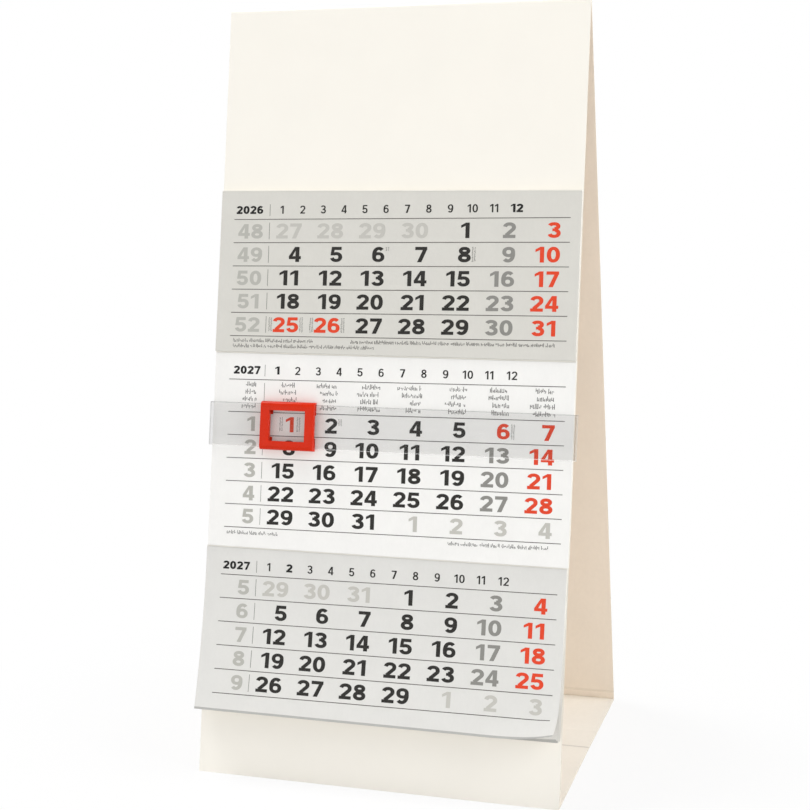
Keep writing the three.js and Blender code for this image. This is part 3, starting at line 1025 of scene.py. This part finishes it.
def finer_copy(node, name, look, body, width, steps):
    """A copy of a CAD node with softened edges, which stands for it."""
    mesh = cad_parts[node].data.copy()
    mesh.name = name
    mesh.materials.clear()
    mesh.materials.append(materials[look])
    shape = bmesh.new()
    shape.from_mesh(mesh)
    bmesh.ops.remove_doubles(shape, verts=shape.verts, dist=WELD_REACH * MM)
    bmesh.ops.dissolve_limit(
        shape, angle_limit=FLAT_ANGLE, verts=shape.verts, edges=shape.edges
    )
    sharp = [edge for edge in shape.edges if edge.calc_face_angle(0) > SHARP_ANGLE]
    bmesh.ops.bevel(
        shape, geom=sharp, offset=width * MM, segments=steps, profile=0.5, affect="EDGES",
        clamp_overlap=True,
    )
    shape.to_mesh(mesh)
    shape.free()
    mesh.polygons.foreach_set("material_index", [0] * len(mesh.polygons))
    mesh.shade_smooth()
    mesh.set_sharp_from_angle(angle=SHARP_ANGLE)
    piece = bpy.data.objects.new(name, mesh)
    bpy.context.scene.collection.objects.link(piece)
    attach(piece, body)
    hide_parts(node)
    return piece


def band_loop(inset):
    """The band's section, in points across and off the front panel, inset from its outside."""
    radius = BAND_CORNER_RADIUS
    side = BAND_INNER_SIDE + FILM_THICKNESS - radius
    back = BAND_INNER_BACK - FILM_THICKNESS + radius
    front = FILM_BACK + FILM_THICKNESS - radius
    corners = [(side, front), (-side, front), (-side, back), (side, back)]
    return [
        (
            BAND_SHIFT + centre[0] + (radius - inset) * math.cos(angle),
            centre[1] + (radius - inset) * math.sin(angle),
        )
        for turn, centre in enumerate(corners)
        for angle in evenly(turn * math.pi / 2, (turn + 1) * math.pi / 2, BAND_CORNER_STEPS)
    ]


BAND_LOOKS = [
    "film", "film_painted_shade_edge", "film_painted_glint_edge", "film_side_painted_highlight", "film_right_fold_painted_sheen",
    "film_left_fold_painted_shade",
]
CLEAR, PAINTED_SHADE_EDGE, PAINTED_GLINT_EDGE, SIDE, PAINTED_SHEEN_FOLD, PAINTED_SHADE_FOLD = range(len(BAND_LOOKS))


def add_band():
    """The film loop, with painted shade and glint along its cut edges and painted shade, sheen
    and highlight in its folds and side.
    """
    head = pad_head(MIDDLE_PAD) + BAND_DROP
    rows = [0, BAND_RIM, BAND_HEIGHT - BAND_RIM, BAND_HEIGHT]
    # painted shade at the top rim, painted glint at the lower rim
    zone_looks = [PAINTED_SHADE_EDGE, CLEAR, PAINTED_GLINT_EDGE]
    outside = band_loop(0)
    inside = band_loop(FILM_THICKNESS)
    count = len(outside)
    points = []
    for row in rows:
        for x, lift in outside + inside:
            points.append(on_panel(x, head + row, lift))
    faces = []
    looks = []

    def add(face, look):
        faces.append(face)
        looks.append(look)

    quarter = count // 4
    clear_looks = [CLEAR] * count
    # painted shade in the left fold
    for i in range(quarter + 4, 2 * quarter - 1):
        clear_looks[i] = PAINTED_SHADE_FOLD
    # painted sheen in the right fold
    for i in range(3 * quarter, count - 1):
        clear_looks[i] = PAINTED_SHEEN_FOLD
    # painted highlight on the right side of the loop
    clear_looks[-1] = SIDE
    for i in range(count):
        k = (i + 1) % count
        for zone, look in enumerate(zone_looks):
            if look == CLEAR:
                look = clear_looks[i]
            above = 2 * count * zone
            below = above + 2 * count
            add((above + i, below + i, below + k, above + k), look)
            above += count
            below += count
            add((above + k, below + k, below + i, above + i), look)
        last = 2 * count * len(zone_looks)
        add((i, k, count + k, count + i), zone_looks[0])
        add((last + count + i, last + count + k, last + k, last + i), zone_looks[-1])
    piece = add_piece("clear_band", points, faces, BAND_LOOKS, "band", looks)
    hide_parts("film_band")


MARKER_EDGE = 0.12
MARKER_EDGE_STEPS = 3


def dress_band_and_marker():
    add_band()
    finer_copy(
        "date_marker", "marker_frame", "red_plastic", "marker",
        MARKER_EDGE, MARKER_EDGE_STEPS,
    )


# Stage and light

WHITE = (1, 1, 1, 1)
FLOOR_HALF = 3  # metres
FLOOR_GREY = 0.88
FLOOR_WHITE_FROM = 0.06  # metres from the easel's middle where the floor starts to turn white
FLOOR_WHITE_TO = 0.15
FLOOR_WHITE_LEAST = 0.86
WORLD_LIGHT = 0.44
LAMP_AIM = Vector((0, 0, 0.1))
LAMPS = (  # name, place and size in metres, power in watts
    ("key", (0.5, -1.4, 0.2), 1.2, 3.1),
    ("fill", (-0.6, -1.3, 0.08), 1, 4),
    ("side", (1.1, -0.15, 0.6), 0.8, 9.8),
    ("top", (-0.5, 0, 1), 0.4, 5.4),
)


def background_rays(tree):
    """A socket that is 1 for the rays that show the white background, and 0 for light."""
    path = tree.nodes.new("ShaderNodeLightPath")
    shown = path.outputs["Is Camera Ray"]
    for ray in ("Is Glossy Ray", "Is Transmission Ray"):
        either = tree.nodes.new("ShaderNodeMath")
        either.operation = "MAXIMUM"
        tree.links.new(shown, either.inputs[0])
        tree.links.new(path.outputs[ray], either.inputs[1])
        shown = either.outputs[0]
    return shown


def add_floor():
    """A matt floor that shows white further from the easel and keeps its shadow."""
    floor = Nodes("stage floor")
    floor.shader.inputs["Base Color"].default_value = (FLOOR_GREY, FLOOR_GREY, FLOOR_GREY, 1)
    floor.shader.inputs["Roughness"].default_value = 0.9
    floor.shader.inputs["Specular IOR Level"].default_value = 0.1
    glow = floor.add("ShaderNodeEmission")
    glow.inputs["Color"].default_value = WHITE
    glow.inputs["Strength"].default_value = 1
    distance = floor.add("ShaderNodeVectorMath", operation="LENGTH")
    floor.link(floor.place, distance.inputs[0])
    share = floor.add("ShaderNodeMapRange", interpolation_type="SMOOTHSTEP")
    share.inputs["From Min"].default_value = FLOOR_WHITE_FROM
    share.inputs["From Max"].default_value = FLOOR_WHITE_TO
    share.inputs["To Min"].default_value = FLOOR_WHITE_LEAST
    share.inputs["To Max"].default_value = 1
    floor.link(distance.outputs["Value"], share.inputs["Value"])
    seen_share = floor.add("ShaderNodeMath", operation="MULTIPLY")
    floor.link(share.outputs["Result"], seen_share.inputs[0])
    floor.link(background_rays(floor.tree), seen_share.inputs[1])
    blend = floor.add("ShaderNodeMixShader")
    floor.link(seen_share.outputs[0], blend.inputs[0])
    floor.link(floor.shader.outputs[0], blend.inputs[1])
    floor.link(glow.outputs[0], blend.inputs[2])
    floor.link(blend.outputs[0], floor.tree.nodes["Material Output"].inputs["Surface"])

    mesh = bpy.data.meshes.new("stage_floor")
    signs = [(-1, -1), (1, -1), (1, 1), (-1, 1)]
    corners = [(FLOOR_HALF * x, FLOOR_HALF * y, 0) for x, y in signs]
    mesh.from_pydata(corners, [], [(0, 1, 2, 3)])
    mesh.materials.append(floor.material)
    stage = bpy.data.objects.new("stage_floor", mesh)
    bpy.context.scene.collection.objects.link(stage)


def add_world():
    """Soft light from all round, which shows as white behind the object."""
    world = bpy.data.worlds.new("studio")
    world.use_nodes = True
    tree = world.node_tree
    light = tree.nodes["Background"]
    light.inputs["Color"].default_value = WHITE
    light.inputs["Strength"].default_value = WORLD_LIGHT
    white = tree.nodes.new("ShaderNodeBackground")
    white.inputs["Color"].default_value = WHITE
    white.inputs["Strength"].default_value = 1
    blend = tree.nodes.new("ShaderNodeMixShader")
    tree.links.new(background_rays(tree), blend.inputs[0])
    tree.links.new(light.outputs[0], blend.inputs[1])
    tree.links.new(white.outputs[0], blend.inputs[2])
    tree.links.new(blend.outputs[0], tree.nodes["World Output"].inputs["Surface"])
    bpy.context.scene.world = world


def add_lamps():
    for name, place, size, power in LAMPS:
        data = bpy.data.lights.new(name, "AREA")
        data.shape = "SQUARE"
        data.size = size
        data.energy = power
        lamp = bpy.data.objects.new(name, data)
        lamp.location = place
        aim = LAMP_AIM - Vector(place)
        lamp.rotation_euler = aim.to_track_quat("-Z", "Y").to_euler()
        bpy.context.scene.collection.objects.link(lamp)


bpy.context.scene.view_settings.view_transform = "Standard"
dress_easel()
add_pads()
dress_band_and_marker()
add_floor()
add_world()
add_lamps()
